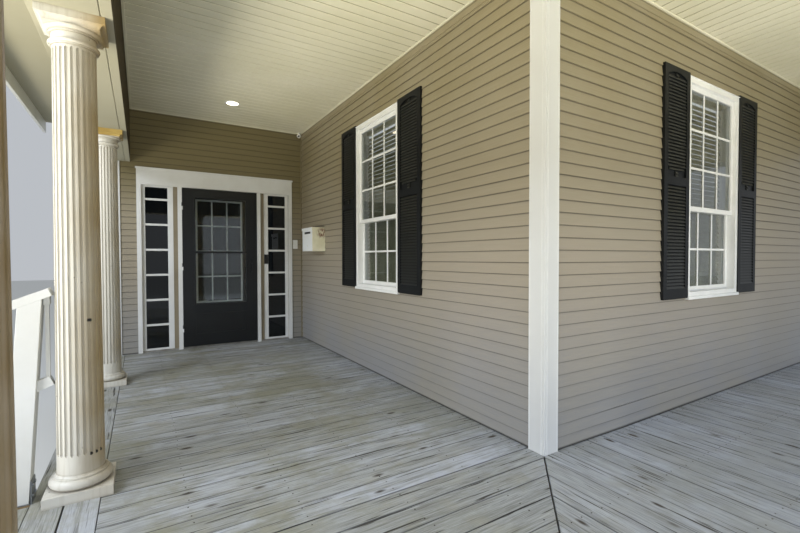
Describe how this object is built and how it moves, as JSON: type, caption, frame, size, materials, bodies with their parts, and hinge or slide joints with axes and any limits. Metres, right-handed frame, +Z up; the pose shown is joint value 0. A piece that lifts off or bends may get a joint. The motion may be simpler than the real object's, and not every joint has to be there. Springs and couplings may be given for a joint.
{
  "type": "wraparound front porch with entry doors and house walls",
  "caption": "Wraparound porch at the outside corner of a clapboarded house: deck, fluted columns, beams, beaded ceiling, roof, shuttered windows, and an entry with outer and inner doors.",
  "frame": {"origin": "on the ground under the outside corner of the house walls, at the outer corner of the foundation", "axes": "+Z up; +X along the front wall to the right; +Y along the side wall to the entry wall"},
  "size_m": [8.3102, 7.605, 4.43],
  "materials": {
    "siding": "vinyl lap siding, embossed",
    "masonry": "rough parged block",
    "deck_wood": "weathered, bare",
    "frame_wood": "sawn, bare",
    "trim_paint": "painted",
    "column_paint": "painted fibreglass",
    "cream_paint": "painted",
    "ceiling_vinyl": "beaded vinyl panels",
    "shingle": "granule-faced asphalt",
    "window_vinyl": "smooth white vinyl",
    "clear_glass": "clear",
    "black_paint": "satin enamel",
    "shutter_vinyl": "moulded, dull",
    "zinc": "hot-dip galvanised",
    "box_enamel": "aged enamel with rust",
    "white_plastic": "moulded"
  },
  "bodies": {
    "porch": {"foundation": "masonry", "side_wall": "siding", "front_wall": "siding", "entry_wall_sides": "siding", "entry_wall_over": "siding", "corner_boards": "trim_paint", "deck_boards": "deck_wood", "deck_border": "deck_wood", "joists": "frame_wood", "cross_beams": "frame_wood", "piers": "masonry", "column_bases": "column_paint", "column_shafts": "column_paint", "column_capitals": "column_paint", "beam_side": "cream_paint", "beam_front": "cream_paint", "beam_end": "cream_paint", "ceilings": "ceiling_vinyl", "soffits": "cream_paint", "fascias": "trim_paint", "roof_ends": "trim_paint", "roof_side": "shingle", "roof_front": "shingle", "window_frames": "window_vinyl", "window_sashes": "window_vinyl", "window_glass": "clear_glass", "shutters": "shutter_vinyl", "entry_posts": "trim_paint", "entry_head": "trim_paint", "entry_threshold": "zinc", "entry_casings": "trim_paint", "sidelights": "trim_paint", "stair_treads": "deck_wood", "stair_stringers": "frame_wood", "stair_newels": "trim_paint", "newel_shoes": "zinc", "stair_rails": "trim_paint", "mailbox": "box_enamel", "wall_fittings": "white_plastic"},
    "storm_door_leaf": {"storm_door": "black_paint", "storm_door_glass": "clear_glass", "storm_door_handle": "black_paint"},
    "entry_door_leaf": {"entry_door": "black_paint", "entry_door_glass": "clear_glass"},
    "mailbox_cover": {"mailbox_lid": "box_enamel"}
  },
  "joints": [
    {"name": "storm_door_swing", "type": "hinge", "parent": "porch", "child": "storm_door_leaf", "pos_m": [-1.585, 4.402, 1.48], "axis": [0, 0, -1], "range_deg": [0, 95]},
    {"name": "entry_door_swing", "type": "hinge", "parent": "porch", "child": "entry_door_leaf", "pos_m": [-1.585, 4.593, 1.48], "axis": [0, 0, 1], "range_deg": [0, 90]},
    {"name": "mailbox_lid_lift", "type": "hinge", "parent": "porch", "child": "mailbox_cover", "pos_m": [-0.008, 3.68, 2.049], "axis": [0, 1, 0], "range_deg": [0, 80]}
  ]
}
